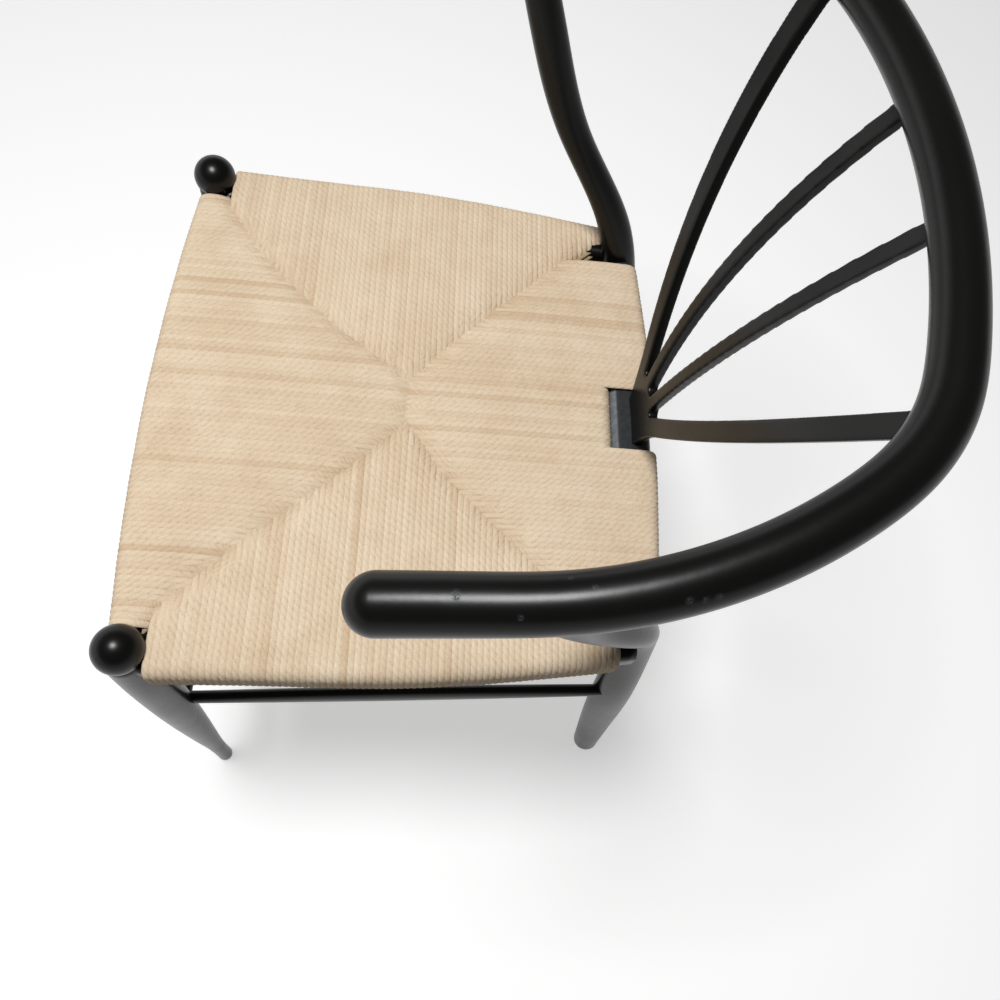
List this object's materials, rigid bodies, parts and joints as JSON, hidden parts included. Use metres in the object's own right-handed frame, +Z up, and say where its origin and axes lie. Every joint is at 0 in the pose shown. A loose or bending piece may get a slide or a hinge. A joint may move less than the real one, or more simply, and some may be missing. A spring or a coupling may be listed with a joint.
{
  "type": "restaurant chair",
  "caption": "Low-backed wooden armchair with a bent one-piece arm and back rail, a flat forked splat, round legs with ball tops and a woven cord seat.",
  "frame": {"origin": "on the floor, under the middle of the whole chair's width and depth", "axes": "+X to the sitter's left, +Y to the back, +Z up"},
  "size_m": [0.5428, 0.5112, 0.763],
  "materials": {
    "lacquered_wood": "black lacquer, satin",
    "paper_cord": "twisted unbleached paper cord",
    "card_stuffing": "folded card, rough",
    "glide_plastic": "matt",
    "nail_steel": "plain"
  },
  "bodies": {
    "root": {"top_rail": "lacquered_wood", "back_splat": "lacquered_wood", "front_leg_left": "lacquered_wood", "front_leg_right": "lacquered_wood", "rear_leg_left": "lacquered_wood", "rear_leg_right": "lacquered_wood", "front_seat_rail": "lacquered_wood", "rear_seat_rail": "lacquered_wood", "side_seat_rail_left": "lacquered_wood", "side_seat_rail_right": "lacquered_wood", "front_stretcher": "lacquered_wood", "rear_stretcher": "lacquered_wood", "side_stretcher_left": "lacquered_wood", "side_stretcher_right": "lacquered_wood", "seat_weave": "paper_cord", "stuffing_front": "card_stuffing", "stuffing_rear": "card_stuffing", "stuffing_left": "card_stuffing", "stuffing_right": "card_stuffing", "glide_front_left": "glide_plastic", "glide_front_right": "glide_plastic", "glide_rear_left": "glide_plastic", "glide_rear_right": "glide_plastic", "glide_nails": "nail_steel"}
  },
  "joints": []
}
